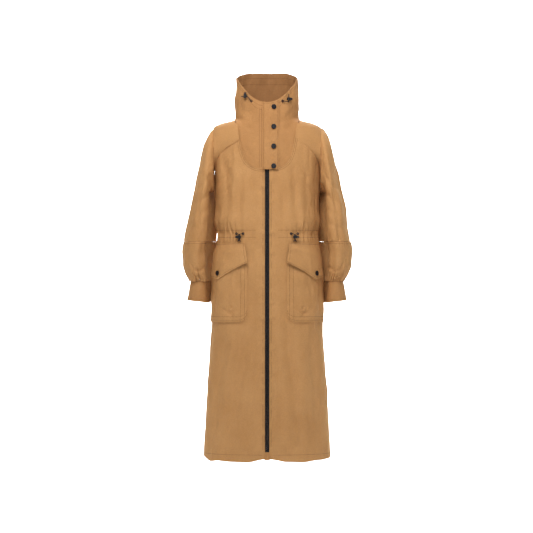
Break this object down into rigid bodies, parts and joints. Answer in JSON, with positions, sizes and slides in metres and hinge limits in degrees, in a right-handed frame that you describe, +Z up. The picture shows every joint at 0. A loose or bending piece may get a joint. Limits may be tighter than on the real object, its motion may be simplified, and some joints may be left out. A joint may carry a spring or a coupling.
{
  "type": "long parka coat",
  "caption": "Long camel parka with a funnel neck, full-length zip under a snapped placket, flapped pockets, waist and neck drawcords, and balloon sleeves gathered into cuffs.",
  "frame": {"origin": "underside of the hanging loop's top band at the centre back of the neck, where a hook bears", "axes": "+X to the wearer's left, +Y to the back, so the front faces -Y, and +Z up"},
  "size_m": [0.576, 0.3348, 1.3122],
  "materials": {
    "camel_cloth": "matt woven cotton blend",
    "camel_trim": "matt woven cotton blend",
    "lining": "plain woven lining",
    "zip_tape": "woven tape with moulded teeth",
    "loop_tape": "flat woven tape",
    "cord": "braided cord",
    "black_metal": "black lacquer, satin",
    "black_plastic": "moulded, satin"
  },
  "bodies": {
    "coat": {"back_panel": "camel_cloth", "collar": "camel_trim", "collar_facing": "lining", "waist_casing": "lining", "right_front_panel": "camel_cloth", "right_pocket_bag": "camel_cloth", "right_zip_tape": "zip_tape", "right_pocket_snap_stud": "black_metal", "right_waist_eyelet_inner": "black_metal", "right_waist_eyelet_outer": "black_metal", "right_collar_eyelet": "black_metal", "right_waist_cord_inner": "cord", "right_waist_cord_outer": "cord", "right_collar_cord": "cord", "left_front_panel": "camel_cloth", "left_pocket_bag": "camel_cloth", "left_zip_tape": "zip_tape", "left_pocket_snap_stud": "black_metal", "left_waist_eyelet_inner": "black_metal", "left_waist_eyelet_outer": "black_metal", "left_collar_eyelet": "black_metal", "left_waist_cord_inner": "cord", "left_waist_cord_outer": "cord", "left_collar_cord": "cord", "placket_snap_stud_1": "black_metal", "placket_snap_stud_2": "black_metal", "placket_snap_stud_3": "black_metal", "placket_snap_stud_4": "black_metal", "hang_loop": "loop_tape"},
    "placket": {"placket_flap": "camel_trim", "placket_snap_cap_1": "black_metal", "placket_snap_cap_2": "black_metal", "placket_snap_cap_3": "black_metal", "placket_snap_cap_4": "black_metal"},
    "upper_slider": {"upper_slider": "black_metal"},
    "lower_slider": {"lower_slider": "black_metal"},
    "lower_pull": {"lower_pull": "camel_trim"},
    "right_pocket_flap": {"right_pocket_flap": "camel_cloth", "right_pocket_snap_cap": "black_metal"},
    "left_pocket_flap": {"left_pocket_flap": "camel_cloth", "left_pocket_snap_cap": "black_metal"},
    "right_waist_lock": {"right_waist_lock": "black_plastic"},
    "right_waist_lock_button": {"right_waist_lock_button": "black_plastic"},
    "left_waist_lock": {"left_waist_lock": "black_plastic"},
    "left_waist_lock_button": {"left_waist_lock_button": "black_plastic"},
    "right_collar_lock": {"right_collar_lock": "black_plastic"},
    "right_collar_lock_button": {"right_collar_lock_button": "black_plastic"},
    "left_collar_lock": {"left_collar_lock": "black_plastic"},
    "left_collar_lock_button": {"left_collar_lock_button": "black_plastic"},
    "right_sleeve": {"right_upper_sleeve": "camel_cloth", "right_lower_sleeve": "camel_cloth", "right_cuff": "camel_trim"},
    "left_sleeve": {"left_upper_sleeve": "camel_cloth", "left_lower_sleeve": "camel_cloth", "left_cuff": "camel_trim"}
  },
  "joints": [
    {"name": "placket_fold", "type": "hinge", "parent": "coat", "child": "placket", "pos_m": [-0.016, -0.17547, -0.09706], "axis": [0, -0.0604, -0.9982], "range_deg": [0, 150]},
    {"name": "right_pocket_flap_lift", "type": "hinge", "parent": "coat", "child": "right_pocket_flap", "pos_m": [-0.07586, -0.18863, -0.45505], "axis": [-1, 0, 0], "range_deg": [0, 90]},
    {"name": "left_pocket_flap_lift", "type": "hinge", "parent": "coat", "child": "left_pocket_flap", "pos_m": [0.07586, -0.18863, -0.45505], "axis": [-1, 0, 0], "range_deg": [0, 90]},
    {"name": "upper_slider_run", "type": "slide", "parent": "coat", "child": "upper_slider", "axis": [0, -0.0604, -0.9982], "range_m": [0, 0.55]},
    {"name": "lower_slider_run", "type": "slide", "parent": "coat", "child": "lower_slider", "axis": [0, 0.0604, 0.9982], "range_m": [0, 0.5]},
    {"name": "lower_pull_swing", "type": "hinge", "parent": "lower_slider", "child": "lower_pull", "pos_m": [0, -0.23649, -1.15222], "axis": [-1, 0, 0], "range_deg": [0, 150]},
    {"name": "right_waist_lock_slide", "type": "slide", "parent": "coat", "child": "right_waist_lock", "axis": [0, -0.0588, -0.9983], "range_m": [0, 0.004]},
    {"name": "right_waist_lock_press", "type": "slide", "parent": "right_waist_lock", "child": "right_waist_lock_button", "axis": [0.94, -0.3405, 0.02], "range_m": [0, 0.002], "stiffness_N_per_m": 300},
    {"name": "left_waist_lock_slide", "type": "slide", "parent": "coat", "child": "left_waist_lock", "axis": [0, -0.0588, -0.9983], "range_m": [0, 0.004]},
    {"name": "left_waist_lock_press", "type": "slide", "parent": "left_waist_lock", "child": "left_waist_lock_button", "axis": [-0.94, -0.3405, 0.02], "range_m": [0, 0.002], "stiffness_N_per_m": 300},
    {"name": "right_collar_lock_slide", "type": "slide", "parent": "coat", "child": "right_collar_lock", "axis": [-0.8292, 0.559, 0], "range_m": [0, 0.004]},
    {"name": "right_collar_lock_press", "type": "slide", "parent": "right_collar_lock", "child": "right_collar_lock_button", "axis": [-0.0251, -0.0372, -0.999], "range_m": [0, 0.002], "stiffness_N_per_m": 300},
    {"name": "left_collar_lock_slide", "type": "slide", "parent": "coat", "child": "left_collar_lock", "axis": [0, 0.0542, 0.9985], "range_m": [0, 0.004]},
    {"name": "left_collar_lock_press", "type": "slide", "parent": "left_collar_lock", "child": "left_collar_lock_button", "axis": [-0.8361, -0.5477, 0.0298], "range_m": [0, 0.002], "stiffness_N_per_m": 300},
    {"name": "right_sleeve_swing", "type": "hinge", "parent": "coat", "child": "right_sleeve", "pos_m": [-0.16047, -0.07286, -0.05562], "axis": [0, 1, 0], "range_deg": [0, 30]},
    {"name": "left_sleeve_swing", "type": "hinge", "parent": "coat", "child": "left_sleeve", "pos_m": [0.16047, -0.07286, -0.05562], "axis": [0, -1, 0], "range_deg": [0, 30]}
  ]
}
